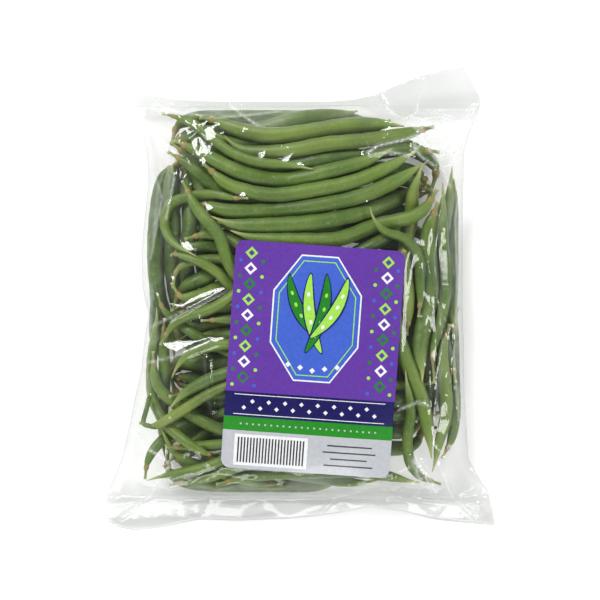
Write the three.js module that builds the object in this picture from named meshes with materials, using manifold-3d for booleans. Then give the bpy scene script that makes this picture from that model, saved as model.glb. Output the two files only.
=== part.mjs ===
// A clear film bag packed with fresh green beans, lying on its back with its label facing up.
//
// The bag is one web of thin film: folded round at both sides and sealed flat across its foot and
// its head, with a skirt of loose film past the foot seal and a film ear at each end of the head.
// Inside lie whole pods, each with its cut stalk, the collar of its calyx, a slender body and a
// pointed beak. Some still hang together on the stalk that they grew on. A paper label with round
// corners is stuck on the front of the film, a little askew.
//
// Units are millimetres. +X runs to the bag's right as its label is read, +Y to its head, +Z up.
// The origin is on the surface that the bag lies on, below the middle of the bag.
import * as THREE from "three";
import { mergeVertices } from "three/addons/utils/BufferGeometryUtils.js";
import Module from "manifold-3d";

// Bag
const fillHeight = 35; // thickest place of the filled bag, film included
const fillMiddle = -0.5; // y of the middle of the filled part
const fillHalfLength = 98; // the filled part reaches this far to the foot and to the head
const sideFoldHeight = 11; // height of the round side folds over the surface
const filmWall = 0.6; // a stout film, so that it makes a sound solid
const doubledHalf = 0.45; // half the thickness of the two sheets where they lie together
const crossBulge = 2.7; // 2 would be an elliptic cross-section, higher is boxier
const lengthBulge = 3.2; // the same along the bag
const underBulge = 4.5; // the same for the flattened back
const underSpread = 1.04; // widens the part of the back that lies truly flat
const filmColumns = 26; // facets across the bag
const filmRows = 30; // facets along its filled part
const skirtRows = 4; // facets along both skirts together
const holdUp = 5; // a pod holds the film up this far past its own width
const filmRest = 1.1; // from the top of a pod to the outside of the film that lies on it
const facetTolerance = 0.15; // facets of the film and the label that differ by less become one
const ventRadius = 3;
const ventPlaces = [[-40, 55], [40, 55], [-40, -55], [40, -55]]; // air holes in the back sheet

// Where the bag's outline runs, as [y, x] down each side and as [x, y] along each end
const leftSide = [
  [-116.5, -98.5], [-105, -98.3], [-95, -96], [-80, -89.5], [-65, -86], [-50, -83], [-35, -79.5], [-20, -78],
  [-7, -76], [6, -79], [25, -79.5], [45, -77.5], [60, -76], [75, -77], [90, -81], [100, -84], [106, -85],
];
const rightSide = [
  [-114, 98.5], [-105, 97], [-95, 94], [-88, 89], [-80, 84.5], [-50, 82.5], [0, 81.5], [45, 81.5], [60, 82],
  [75, 82.5], [85, 85.5], [93, 89], [100, 91.2], [116.5, 82.5],
];
const headEdge = [
  [-85, 106], [-77, 103], [-62, 100.5], [-39, 99.5], [-8, 99.5], [15, 99.5], [27, 100.5], [38, 103],
  [57.5, 111.3], [70, 114.4], [82.5, 116.4], [91, 114],
];
const footEdge = [
  [-98.5, -111], [-92, -115], [-84, -116.5], [-70, -115], [-50, -111], [-30, -111.5], [-5, -110.5],
  [20, -107.5], [36, -104], [52, -106.5], [68, -111], [98.5, -114],
];

// Label
const labelWidth = 83;
const labelLength = 112;
const labelCorner = 4.5;
const labelTurn = THREE.MathUtils.degToRad(-4.1);
const labelMiddle = [6.3, -29.2];
const labelPaper = 0.5;
const touchGap = 0.6; // left between the label and the film that it is stuck on

// Pods
const podGap = 0.55; // left between pods that rest on each other
const filmGap = 0.8; // left between a pod and the film
const beakLength = 6;
const stalkLength = 6;
const calyxRadius = 2;
const stalkRadius = 1.1;

const filmSkin = new THREE.MeshStandardMaterial({
  color: 0xeef0ee, roughness: 0.12, metalness: 0, transparent: true, opacity: 0.22,
});
const labelSkin = new THREE.MeshStandardMaterial({ color: 0x6a3aa8, roughness: 0.3, metalness: 0 });
const podSkin = new THREE.MeshStandardMaterial({ color: 0x6d8f3c, roughness: 0.5, metalness: 0 });

const wasm = await Module();
wasm.setup();
const bag = new THREE.Group();
bag.name = "bagged_green_beans";

function solid(geometry) {
  const bare = geometry.clone();
  bare.deleteAttribute("normal");
  bare.deleteAttribute("uv");
  const merged = mergeVertices(bare, 1e-4);
  const index = [];
  for (let k = 0; k < merged.index.count; k += 3) {
    const [a, b, c] = [0, 1, 2].map((n) => merged.index.getX(k + n));
    if (a !== b && b !== c && c !== a) {
      index.push(a, b, c);
    }
  }
  return new wasm.Manifold(new wasm.Mesh({
    numProp: 3,
    vertProperties: new Float32Array(merged.attributes.position.array),
    triVerts: new Uint32Array(index),
  }));
}

function addNode(body, name, skin) {
  const mesh = body.getMesh();
  const geometry = new THREE.BufferGeometry();
  geometry.setAttribute("position", new THREE.BufferAttribute(new Float32Array(mesh.vertProperties), 3));
  geometry.setIndex(new THREE.BufferAttribute(new Uint32Array(mesh.triVerts), 1));
  geometry.computeVertexNormals();
  const node = new THREE.Mesh(geometry, skin.clone());
  node.name = name;
  bag.add(node);
}

function readTable(table, at) {
  for (let k = 1; k < table.length; k += 1) {
    if (at <= table[k][0]) {
      const share = (at - table[k - 1][0]) / (table[k][0] - table[k - 1][0]);
      return THREE.MathUtils.lerp(table[k - 1][1], table[k][1], Math.max(0, share));
    }
  }
  return table[table.length - 1][1];
}

// Shape of the filled bag. "across" is -1 and 1 at the side folds, "along" at the foot and head seals.
const round = (share, power) => (Math.abs(share) >= 1 ? 0 : (1 - Math.abs(share) ** power) ** (1 / power));
const acrossAt = (x, y) => {
  const [left, right] = [readTable(leftSide, y), readTable(rightSide, y)];
  return (2 * x - left - right) / (right - left);
};
const alongAt = (y) => (y - fillMiddle) / fillHalfLength;

function seamHeight(x, y) {
  const loose = y < 0
    ? 1.7 + 4.6 * THREE.MathUtils.smoothstep(y, -115, -97) + 0.7 * Math.sin(0.16 * x + 0.7)
    : 8 + 0.35 * (y - 98) + 0.5 * Math.sin(0.2 * x);
  return THREE.MathUtils.lerp(loose, sideFoldHeight, round(alongAt(y), lengthBulge));
}

function blownTop(x, y, across = acrossAt(x, y)) {
  const rest = seamHeight(x, y) + doubledHalf;
  return rest + (fillHeight - rest) * round(across, crossBulge) * round(alongAt(y), lengthBulge);
}

function filmUnder(x, y, across = acrossAt(x, y)) {
  const flat = underSpread * round(across, underBulge) * round(alongAt(y), underBulge);
  return (seamHeight(x, y) - doubledHalf) * (1 - Math.min(1, flat));
}

// Pods that show through the film, each as its width, how high it lies among the others (6 is against
// the film) and the way that it runs, from its beak to its stalk, seen from above.
const shown = {
  head_rim: [8, 5, [[52.5, 84.5], [22.5, 90], [-2.5, 90.5], [-30, 90], [-51, 89.5]]],
  head_slant: [5, 6, [[8, 64], [-12.5, 68], [-22, 70.5], [-38.5, 78.5], [-54.5, 90], [-70, 94]]],
  head_second: [7.6, 5, [[-41, 84.5], [-17, 81], [0, 79.5], [15, 78.8], [33.5, 79.3], [50, 82], [66, 86]]],
  head_under: [6, 3, [[-50, 87], [-32, 86], [5, 82], [20, 82.5], [37, 85], [45, 90]]],
  head_third: [7, 4, [[-40, 68], [-25, 70], [-2.5, 72], [15, 73.5], [32.5, 74], [50, 76.5], [70, 73]]],
  head_fourth: [7.5, 4, [
    [46, 75], [33.5, 71], [15, 66], [-2.5, 63.5], [-17.5, 64.5], [-32.5, 69], [-47.5, 75], [-66, 80]]],
  head_fifth: [7, 5, [
    [59, 74], [47.5, 71], [35.5, 67], [20, 60], [0, 56], [-16, 57], [-27.5, 61], [-38.5, 69], [-46.5, 77]]],
  head_left: [6.5, 3, [[25, 48], [-5, 52], [-28.5, 56], [-42.5, 61], [-67, 74]]],
  head_sixth: [8, 5, [
    [62.5, 67.5], [53.5, 61.5], [40.5, 57.5], [25, 52.5], [0, 51], [-26.5, 52.5], [-56, 54.5]]],
  head_seventh: [7.4, 4, [
    [-47.5, 42], [-22, 41], [-2.5, 40.5], [25.5, 44.5], [40.5, 47], [55, 52], [65.5, 59.5]]],
  over_label: [7.5, 5, [[-39, 34.5], [-12, 35], [15, 35.5], [40.5, 39], [55, 43], [67.5, 53.5]]],
  label_rim: [7, 4, [[62.5, 38], [45, 31.5], [15, 28.5], [-32, 28.5]]],
  right_olive: [7.5, 4, [[59, 65.5], [54, 58], [50, 51.5], [48.5, 39], [49.5, 27.5], [51, 7.5], [51, -20]]],
  right_long: [7.2, 5, [
    [65.5, -80], [62, -57.5], [60, -45], [58.5, -33.5], [56, -17.5], [54.5, -5], [54, 8], [53, 27]]],
  right_broad: [9, 6, [[57, -42], [60.5, -29], [62.5, -15], [64, 0], [65, 19], [67, 39], [69, 48.5]]],
  right_short: [5.5, 5, [[38, 52], [49, 42], [53.5, 33], [55.5, 26], [58, 17], [58, 3.5], [58.4, -8]]],
  right_hazy: [6, 4, [
    [76.5, 67], [76, 51.5], [75, 27.5], [73, 3.5], [74.5, -9.5], [75.5, -25], [76, -42]]],
  right_side: [6, 3, [[75, 62], [77, 40], [77, 20], [77, 1], [76, -20]]],
  right_fold: [6, 3, [[77, -2], [77, -20], [77.5, -40], [77, -55], [75, -67.5], [70, -79]]],
  right_top: [5.4, 6, [[52, -33], [51, -42], [51, -54], [52.5, -68], [54.5, -80], [58.5, -87], [70, -92]]],
  right_turn: [6.5, 5, [[65.5, -85], [71, -70.5], [76, -58.5], [77, -46.5], [77, -35], [76, -12]]],
  right_across: [6, 3, [[-20, -50], [10, -52], [40, -54], [74, -55.5]]],
  left_slant: [6.5, 6, [
    [-15, -18], [-25, 2], [-32.5, 19], [-41.5, 34], [-46, 40.5], [-54.5, 50], [-60, 62]]],
  left_stalk: [6.5, 4, [[35, 17], [-5, 25], [-27.5, 31], [-39, 34.5], [-45, 27]]],
  left_curl: [5, 5, [[-52, 21], [-66, 28.5], [-70, 32], [-71, 40], [-69, 47.5], [-57.5, 53.5], [-30, 60]]],
  left_first: [6.5, 5, [[40, 22], [0, 25], [-32.5, 28.5], [-44.5, 30.5], [-61, 30]]],
  left_low: [5.5, 3, [[20, 6], [-35, 8.5], [-68, 8.5]]],
  left_rim: [5, 4, [[-20, -35], [-40, -24], [-62.5, -11], [-70, -3], [-73, 2]]],
  left_bright: [5.4, 6, [
    [15, 15], [-30, 8], [-39.5, 4.5], [-50, -0.5], [-57, -7], [-67.5, -17.5], [-71, -22]]],
  left_third: [5.5, 3, [[40, -6], [-20, -8], [-39.5, -9.5], [-50, -10]]],
  left_fold: [5.6, 5, [
    [-71, -3.5], [-74, -11.5], [-75, -20], [-75, -30], [-75, -39.5], [-74, -50], [-71.5, -57.5],
    [-66.5, -64], [-59, -71.5], [-40, -82]]],
  left_sweep: [6.4, 5, [
    [5, -80], [-27.5, -68.5], [-40, -62.5], [-52.5, -56], [-61.5, -50], [-69, -45], [-72, -38], [-74, -26]]],
  left_deep: [6, 3, [[35, -40], [-20, -44], [-37.5, -45], [-66, -49]]],
  foot_first: [5.4, 5, [[35, -62], [-15, -68], [-40, -71], [-54.5, -73], [-68, -73]]],
  foot_slant: [5, 4, [[-68, -60], [-61, -75], [-50.5, -81.5], [-40.5, -87], [-30, -90], [-8, -91]]],
  foot_second: [5.8, 5, [[30, -62], [-12.5, -75], [-30, -81.5], [-42.5, -86.5], [-52.5, -89.5], [-65, -93]]],
  foot_rim: [6.6, 5, [[60, -90.5], [49, -91.5], [0, -90], [-42.5, -91]]],
  foot_under: [6, 3, [[40, -87], [0, -86.5], [-32.5, -83], [-56, -78]]],
  left_corner: [5.6, 4, [[-20, -45], [-62.5, -62.5], [-70, -70], [-75, -76], [-77, -83.5], [-77, -90]]],
  left_upright: [6, 3, [[-66, -80], [-70, -60], [-71, -40], [-68, -22], [-66, -8]]],
};

// Pods that still hang together: each pod as above, and then the fork that their stalks share
const shownPairs = {
  pair_right: [[70, -41], [
    [5.4, 5, [[70.5, 59.5], [72.5, 46.5], [70.5, 20], [69.5, 0], [71, -27]]],
    [6.2, 3, [[-25, -50], [30, -47.5], [50, -44], [61, -42]]]]],
  pair_left: [[-69, 24], [
    [5.5, 4, [[35, 5], [-20, 16], [-35, 20], [-50, 23], [-61, 26.5]]],
    [5, 5, [[5, -8], [-20, -2.5], [-34, 6.5], [-46.5, 15], [-54.5, 18], [-61.5, 22]]]]],
  pair_waist: [[-71, 9], [
    [5.4, 4, [[25, 20], [-35, 19], [-55.5, 17.5], [-63, 15]]],
    [7, 5, [[25, 8], [-30, 11], [-43, 10], [-51.5, 9], [-58.5, 5.5], [-64, 4]]]]],
  pair_label: [[36, -10], [
    [6, 5, [[-65, -41.5], [-60.5, -36], [-54.5, -30.5], [-47, -26], [-36, -21.5], [-15, -15], [27, -9]]],
    [6.4, 6, [
      [-64.5, -54], [-59, -47.5], [-52.5, -39.5], [-44.5, -33], [-35.5, -28.5], [-15, -22.5], [28, -14]]]]],
  pair_middle: [[36, 2], [
    [5.6, 4, [[-60, -17], [-47, -7], [-39.5, -3], [-30, 2], [27, 6]]],
    [6.4, 4, [[-56, -21], [-43, -17.5], [-30, -15.5], [27, -3]]]]],
  pair_foot: [[14, -60], [
    [5.4, 5, [[-76, -90], [-69, -87], [-59, -83.5], [-42.5, -77.5], [5, -64]]],
    [5.4, 4, [[-71, -85], [-63.5, -79], [-52.5, -72.5], [5, -57]]]]],
  stem_left: [[-79, -72], [
    [5, 5, [[-22, -36], [-62.5, -55], [-70, -61], [-74, -66]]],
    [2.4, 5, [[-75, -47.5], [-77, -55], [-79, -62]]]]],
};

// Below these lie the pods that no view from above shows, in sprays by rule and by seed: most across
// the bag in three beds, their forks by turns at its left and right, and the last ones lengthwise
const bedCount = 3;
const sprayCount = 11;
const lengthwiseX = [-62, 64];
const podsInSpray = 5;

let seed = 20261;
function draw(low, high) {
  seed = (Math.imul(seed, 1664525) + 1013904223) >>> 0;
  return low + (high - low) * (seed / 4294967296);
}

// Beads strung along each pod carry it while all of them settle in the bag
const beads = [];
const pods = [];

function stations(length, stalk) {
  const neck = length - stalk;
  const beak = Math.min(beakLength, 0.15 * neck);
  const from = Math.min(beakLength + 9, 0.3 * neck);
  const till = Math.max(neck - 12, 0.7 * neck);
  const list = [0, beak, from];
  for (let k = 1; k <= 4; k += 1) {
    list.push(THREE.MathUtils.lerp(from, till, k / 4));
  }
  return [...list, neck - Math.min(4, 0.1 * neck), neck, length];
}

function stationRadii(width) {
  const full = width / 2;
  return [0, 0.3, 0.8, 0.97, 1, draw(0.96, 1.02), 0.95, 0.72, 0, 0].map((share, k) => {
    if (k === 0) {
      return 0;
    }
    return k < 8 ? share * full : Math.min(full, k === 8 ? calyxRadius : stalkRadius);
  });
}

function stringPod(group, width, way, height, shows, fork) {
  const curve = new THREE.CatmullRomCurve3(way, false, "centripetal");
  const length = curve.getLength();
  const stalk = fork === undefined ? stalkLength : way[way.length - 1].distanceTo(way[way.length - 2]);
  const radii = stationRadii(width);
  const at = stations(length, stalk).map((reach, k, all) => {
    if (fork !== undefined && k === all.length - 1) {
      return fork;
    }
    const place = curve.getPointAt(reach / length);
    beads.push({ place, aim: place.clone(), radius: radii[k], shows, height });
    return beads.length - 1;
  });
  const span = (a, b) => beads[a].place.distanceTo(beads[b].place);
  pods.push({
    group, at, radii, shows,
    links: at.slice(1).map((b, k) => span(at[k], b)),
    bows: at.slice(2).map((b, k) => span(at[k], b)),
  });
}

const liftOf = (level) => 30 + 9.5 * (level - 3);
const liftPath = (points, level) => points.map(
  ([x, y]) => new THREE.Vector3(x, y, liftOf(level) + draw(-0.5, 0.5)));

function addFork(place, shows) {
  beads.push({ place, aim: place.clone(), radius: stalkRadius, shows });
  return beads.length - 1;
}

for (const [name, [width, level, points]] of Object.entries(shown)) {
  stringPod(name, width, liftPath(points, level), level, true);
}
for (const [name, [forkPlace, members]] of Object.entries(shownPairs)) {
  const top = members.reduce((sum, member) => sum + member[1], 0) / members.length;
  const forkPoint = new THREE.Vector3(...forkPlace, liftOf(top));
  const fork = addFork(forkPoint, true);
  for (const [width, level, points] of members) {
    stringPod(name, width, [...liftPath(points, level), forkPoint.clone()], level, true, fork);
  }
}
for (let k = 0; k < sprayCount; k += 1) {
  const acrossCount = sprayCount - lengthwiseX.length;
  const lengthwise = k >= acrossCount;
  const side = k % 2 ? 1 : -1;
  const bed = k % bedCount;
  const start = lengthwise
    ? new THREE.Vector2(lengthwiseX[k - acrossCount], side * 72)
    : new THREE.Vector2(side * 71, THREE.MathUtils.lerp(-84, 84, (k + 0.5) / acrossCount) + draw(-3, 3));
  const heading = lengthwise ? -side * Math.PI / 2 : (side + 1) * Math.PI / 2;
  const forkPoint = new THREE.Vector3(start.x, start.y, 7 + 9 * bed);
  const fork = addFork(forkPoint, false);
  for (let n = 0; n < podsInSpray; n += 1) {
    const spread = n - (podsInSpray - 1) / 2;
    const length = draw(98, 120);
    const turn = heading + 0.1 * spread + draw(-0.04, 0.04);
    const bow = draw(-7, 7);
    const way = [1, 0.66, 0.33, 9.5 / length].map((share) => {
      const aside = 3 * spread + bow * 4 * share * (1 - share);
      return new THREE.Vector3(
        forkPoint.x + length * share * Math.cos(turn) - aside * Math.sin(turn),
        forkPoint.y + length * share * Math.sin(turn) + aside * Math.cos(turn),
        forkPoint.z + 2.5 * spread * (n % 2 ? 1 : -1) * share,
      );
    });
    const name = `spray_${String(k + 1).padStart(2, "0")}`;
    stringPod(name, draw(7.7, 8.7), [...way, forkPoint.clone()], bed, false, fork);
  }
}

// Room inside the film. Below zero the bead presses into it; the number says how far it must move.
function roomAt(x, y, z, lid) {
  const seam = seamHeight(x, y);
  const across = Math.abs(acrossAt(x, y)) * 1.01;
  const along = alongAt(y) * 1.01;
  if (z > seam) {
    const end = Math.max(0.02, round(along, lengthBulge));
    const rise = (z - seam) / ((fillHeight - filmWall - seam) * lid * end);
    return (across ** crossBulge + rise ** crossBulge) ** (1 / crossBulge);
  }
  const end = Math.max(0.02, round(along, underBulge));
  const fall = (seam - z) / ((seam - filmWall) * underSpread * end);
  return (across ** underBulge + fall ** underBulge) ** (1 / underBulge);
}

function outward(x, y, z, lid) {
  const step = 0.3;
  return new THREE.Vector3(
    roomAt(x + step, y, z, lid) - roomAt(x - step, y, z, lid),
    roomAt(x, y + step, z, lid) - roomAt(x, y - step, z, lid),
    roomAt(x, y, z + step, lid) - roomAt(x, y, z - step, lid),
  ).divideScalar(2 * step);
}

function keepInside(bead, lid) {
  const { place, radius } = bead;
  const need = radius + filmGap + filmWall;
  const reach = fillHalfLength - need - 1;
  place.y = THREE.MathUtils.clamp(place.y, fillMiddle - reach, fillMiddle + reach);
  place.z = Math.max(place.z, need);
  if (place.z > sideFoldHeight + 2 && roomAt(...place, lid) < 0.5) {
    return;
  }
  const skin = place.clone().addScaledVector(outward(...place, lid).normalize(), need);
  const slope = outward(...skin, lid);
  const steep = slope.length();
  slope.divideScalar(steep);
  skin.copy(place).addScaledVector(slope, need);
  const press = (roomAt(...skin, lid) - 1) / steep;
  if (press > 0) {
    place.addScaledVector(slope, -Math.min(press, 2));
  }
}

// Nearest points of two straight links, as shares along each
function nearest(a, b, c, d) {
  const along = b.clone().sub(a);
  const other = d.clone().sub(c);
  const apart = a.clone().sub(c);
  const [aa, bb, ab] = [along.lengthSq(), other.lengthSq(), along.dot(other)];
  const [ra, rb] = [along.dot(apart), other.dot(apart)];
  const square = aa * bb - ab * ab;
  let s = square > 1e-9 ? THREE.MathUtils.clamp((ab * rb - ra * bb) / square, 0, 1) : 0.5;
  let t = (ab * s + rb) / bb;
  if (t < 0 || t > 1) {
    t = THREE.MathUtils.clamp(t, 0, 1);
    s = THREE.MathUtils.clamp((ab * t - ra) / aa, 0, 1);
  }
  return [s, t];
}

function findNeighbours(margin) {
  const links = [];
  pods.forEach((pod, owner) => pod.links.forEach((span, k) => {
    const [a, b] = [beads[pod.at[k]], beads[pod.at[k + 1]]];
    links.push({
      owner, k, a, b, ra: pod.radii[k], rb: pod.radii[k + 1], group: pod.group,
      atFork: k === pod.links.length - 1,
      box: new THREE.Box3().setFromPoints([a.place, b.place])
        .expandByScalar(Math.max(pod.radii[k], pod.radii[k + 1])),
    });
  }));
  links.sort((p, q) => p.box.min.x - q.box.min.x);
  const pairs = [];
  for (let i = 0; i < links.length; i += 1) {
    const reach = links[i].box.clone().expandByScalar(margin);
    for (let j = i + 1; j < links.length && links[j].box.min.x < reach.max.x; j += 1) {
      const [p, q] = [links[i], links[j]];
      const sameFork = p.group === q.group && (p.atFork || q.atFork);
      const samePod = p.owner === q.owner && Math.abs(p.k - q.k) < 3;
      if (!sameFork && !samePod && reach.intersectsBox(q.box)) {
        pairs.push([p, q]);
      }
    }
  }
  return pairs;
}

function pushApart([p, q]) {
  const [s, t] = nearest(p.a.place, p.b.place, q.a.place, q.b.place);
  const away = p.a.place.clone().lerp(p.b.place, s).sub(q.a.place.clone().lerp(q.b.place, t));
  const need = THREE.MathUtils.lerp(p.ra, p.rb, s) + THREE.MathUtils.lerp(q.ra, q.rb, t) + podGap;
  const apart = away.length();
  if (apart >= need) {
    return;
  }
  if (apart < 1e-6) {
    away.set(0, 0, 1);
  } else {
    away.divideScalar(apart);
  }
  const shares = [1 - s, s, 1 - t, t];
  const push = (need - apart) / shares.reduce((sum, share) => sum + share * share, 0);
  p.a.place.addScaledVector(away, push * shares[0]);
  p.b.place.addScaledVector(away, push * shares[1]);
  q.a.place.addScaledVector(away, -push * shares[2]);
  q.b.place.addScaledVector(away, -push * shares[3]);
}

function holdSpan(a, b, span, firmness) {
  const line = beads[b].place.clone().sub(beads[a].place);
  const length = line.length() || 1e-6;
  line.multiplyScalar(firmness * (length - span) / length / 2);
  beads[a].place.add(line);
  beads[b].place.sub(line);
}

function settle(rounds) {
  let pairs = [];
  for (let turn = 0; turn < rounds; turn += 1) {
    const progress = turn / rounds;
    const lid = 1 + 1.4 * Math.max(0, 1 - progress / 0.4);
    const pull = 0.25 * Math.max(0, 1 - progress / 0.5);
    const aimed = 0.12 * Math.max(0, 1 - progress / 0.6);
    const firmness = progress < 0.7 ? 0.35 : 0.08;
    if (turn % 6 === 0) {
      pairs = findNeighbours(3);
    }
    for (const bead of beads) {
      bead.place.z += bead.shows ? pull : -pull;
      if (bead.shows) {
        bead.place.x += aimed * (bead.aim.x - bead.place.x);
        bead.place.y += aimed * (bead.aim.y - bead.place.y);
      }
    }
    for (let pass = 0; pass < 3; pass += 1) {
      for (const pod of pods) {
        pod.links.forEach((span, k) => holdSpan(pod.at[k], pod.at[k + 1], span, 0.8));
        pod.bows.forEach((span, k) => holdSpan(pod.at[k], pod.at[k + 2], span, firmness));
      }
      for (const pair of pairs) {
        pushApart(pair);
      }
    }
    for (const bead of beads) {
      keepInside(bead, lid);
    }
  }
}

settle(600);

// How high the front of the film lies over each spot of a grid: on the pods, taut from one to the
// next, and nowhere higher than the blown-up bag
const spotStep = 4;
const spotColumns = 51;
const spotRows = 60;
const spotX = (i) => (i - (spotColumns - 1) / 2) * spotStep;
const spotY = (j) => (j - (spotRows - 1) / 2) * spotStep;
const emptyGrid = () => Array.from({ length: spotRows }, () => new Array(spotColumns).fill(0));

function holdSpots(grid, at, radius) {
  const reach = radius + holdUp;
  for (let j = 0; j < spotRows; j += 1) {
    if (Math.abs(spotY(j) - at.y) < reach) {
      for (let i = 0; i < spotColumns; i += 1) {
        const past = Math.max(0, Math.hypot(spotX(i) - at.x, spotY(j) - at.y) - holdUp);
        if (past < radius) {
          grid[j][i] = Math.max(grid[j][i], at.z + Math.sqrt(radius ** 2 - past ** 2) + filmRest);
        }
      }
    }
  }
}

const heldAt = emptyGrid();
for (const pod of pods) {
  pod.links.forEach((span, k) => {
    const [a, b] = [beads[pod.at[k]].place, beads[pod.at[k + 1]].place];
    for (let share = 0; share <= 1; share += 0.125) {
      const radius = THREE.MathUtils.lerp(pod.radii[k], pod.radii[k + 1], share);
      holdSpots(heldAt, a.clone().lerp(b, share), radius);
    }
  });
}
let lies = emptyGrid().map((row, j) => row.map((_, i) => blownTop(spotX(i), spotY(j))));
const highest = lies;
for (let pass = 0; pass < 400; pass += 1) {
  lies = lies.map((row, j) => row.map((height, i) => {
    if (i === 0 || j === 0 || i === spotColumns - 1 || j === spotRows - 1) {
      return height;
    }
    const mean = (row[i - 1] + row[i + 1] + lies[j - 1][i] + lies[j + 1][i]) / 4;
    return Math.min(highest[j][i], Math.max(mean - 0.08, heldAt[j][i]));
  }));
}

function filmTop(x, y, across = acrossAt(x, y)) {
  const column = THREE.MathUtils.clamp(x / spotStep + (spotColumns - 1) / 2, 0, spotColumns - 1.001);
  const row = THREE.MathUtils.clamp(y / spotStep + (spotRows - 1) / 2, 0, spotRows - 1.001);
  const [i, j] = [Math.floor(column), Math.floor(row)];
  const near = THREE.MathUtils.lerp(lies[j][i], lies[j][i + 1], column - i);
  const far = THREE.MathUtils.lerp(lies[j + 1][i], lies[j + 1][i + 1], column - i);
  return Math.min(blownTop(x, y, across), THREE.MathUtils.lerp(near, far, row - j));
}

// The two sheets as one closed skin, or the room inside it. Rows and columns crowd where the film turns
// round its folds, and the room inside ends one row or column short of them.
const crowd = (share) => 0.1 * share + 0.9 * Math.sin(share * Math.PI / 2);

function pillow(inside) {
  const columns = inside ? filmColumns - 2 : filmColumns;
  const filledRows = inside ? filmRows - 2 : filmRows;
  const looseRows = inside ? 0 : skirtRows;
  const grid = new THREE.BoxGeometry(2, 2, 2, columns, filledRows + looseRows, 1);
  const position = grid.attributes.position;
  const lastFilledRow = filledRows / (filledRows + looseRows);
  for (let k = 0; k < position.count; k += 1) {
    const across = crowd(position.getX(k) * (columns / filmColumns));
    const row = position.getY(k);
    const filled = THREE.MathUtils.clamp(row / lastFilledRow, -1, 1) * (filledRows / filmRows);
    const reach = fillMiddle + crowd(filled) * fillHalfLength;
    const past = inside ? 0 : Math.max(0, (Math.abs(row) - lastFilledRow) / (1 - lastFilledRow));
    let [x, y] = [0, reach];
    for (let pass = 0; pass < 8; pass += 1) {
      x = THREE.MathUtils.lerp(readTable(leftSide, y), readTable(rightSide, y), (across + 1) / 2);
      y = THREE.MathUtils.lerp(reach, readTable(row < 0 ? footEdge : headEdge, x), past);
    }
    const upper = position.getZ(k) > 0;
    const height = upper ? filmTop : filmUnder;
    let z = height(x, y, across);
    if (inside) {
      const step = 0.4;
      const slope = Math.hypot(height(x + step, y) - height(x - step, y),
        height(x, y + step) - height(x, y - step)) / (2 * step);
      z += (upper ? -1 : 1) * filmWall * Math.min(3.5, Math.hypot(1, slope));
    }
    position.setXYZ(k, x, y, z);
  }
  return solid(grid);
}

const outside = pillow(false);
let film = outside.subtract(pillow(true));
for (const [x, y] of ventPlaces) {
  const vent = new THREE.CylinderGeometry(ventRadius, ventRadius, 4, 12).rotateX(Math.PI / 2);
  film = film.subtract(solid(vent.translate(x, y, 0)));
}
addNode(film.simplify(facetTolerance), "film_bag", filmSkin);

// The label: a sheet of paper that follows the film under it, cut to its round corners
const cutShape = new THREE.Shape();
const [halfWidth, halfLength] = [labelWidth / 2 - labelCorner, labelLength / 2 - labelCorner];
cutShape.absarc(halfWidth, halfLength, labelCorner, 0, Math.PI / 2);
cutShape.absarc(-halfWidth, halfLength, labelCorner, Math.PI / 2, Math.PI);
cutShape.absarc(-halfWidth, -halfLength, labelCorner, Math.PI, 1.5 * Math.PI);
cutShape.absarc(halfWidth, -halfLength, labelCorner, 1.5 * Math.PI, 2 * Math.PI);
const cutter = new THREE.ExtrudeGeometry(cutShape, { depth: 60, bevelEnabled: false, curveSegments: 4 });
cutter.rotateZ(labelTurn).translate(...labelMiddle, sideFoldHeight);
const sheet = outside.translate(0, 0, touchGap + labelPaper).subtract(outside.translate(0, 0, touchGap));
addNode(sheet.intersect(solid(cutter)).simplify(facetTolerance), "label", labelSkin);

// A pod is turned as a straight body of revolution and then laid along its beads
function podSolid(pod, sides) {
  const places = pod.at.map((k) => beads[k].place);
  const profile = places.map((place, k) => new THREE.Vector2(pod.radii[k], k));
  profile.push(new THREE.Vector2(0, places.length - 1));
  const turned = new THREE.LatheGeometry(profile, sides);
  const position = turned.attributes.position;
  const frames = [];
  let sideways = new THREE.Vector3(0, 0, 1);
  places.forEach((place, k) => {
    const before = places[Math.max(0, k - 1)];
    const after = places[Math.min(places.length - 1, k + 1)];
    const heading = after.clone().sub(before).normalize();
    sideways = sideways.clone().addScaledVector(heading, -sideways.dot(heading)).normalize();
    frames.push([sideways, heading.clone().cross(sideways)]);
  });
  for (let k = 0; k < position.count; k += 1) {
    const ring = Math.round(position.getY(k));
    const moved = places[ring].clone()
      .addScaledVector(frames[ring][0], position.getX(k))
      .addScaledVector(frames[ring][1], -position.getZ(k));
    position.setXYZ(k, moved.x, moved.y, moved.z);
  }
  return solid(turned);
}

const groups = new Map();
for (const pod of pods) {
  const body = podSolid(pod, pod.shows ? 6 : 5);
  groups.set(pod.group, groups.has(pod.group) ? groups.get(pod.group).add(body) : body);
}
for (const [name, body] of groups) {
  addNode(body, name in shown ? `pod_${name}` : name, podSkin);
}

export default bag;
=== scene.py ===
import math

import bmesh
import bpy
import numpy as np
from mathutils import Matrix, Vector, noise


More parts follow.
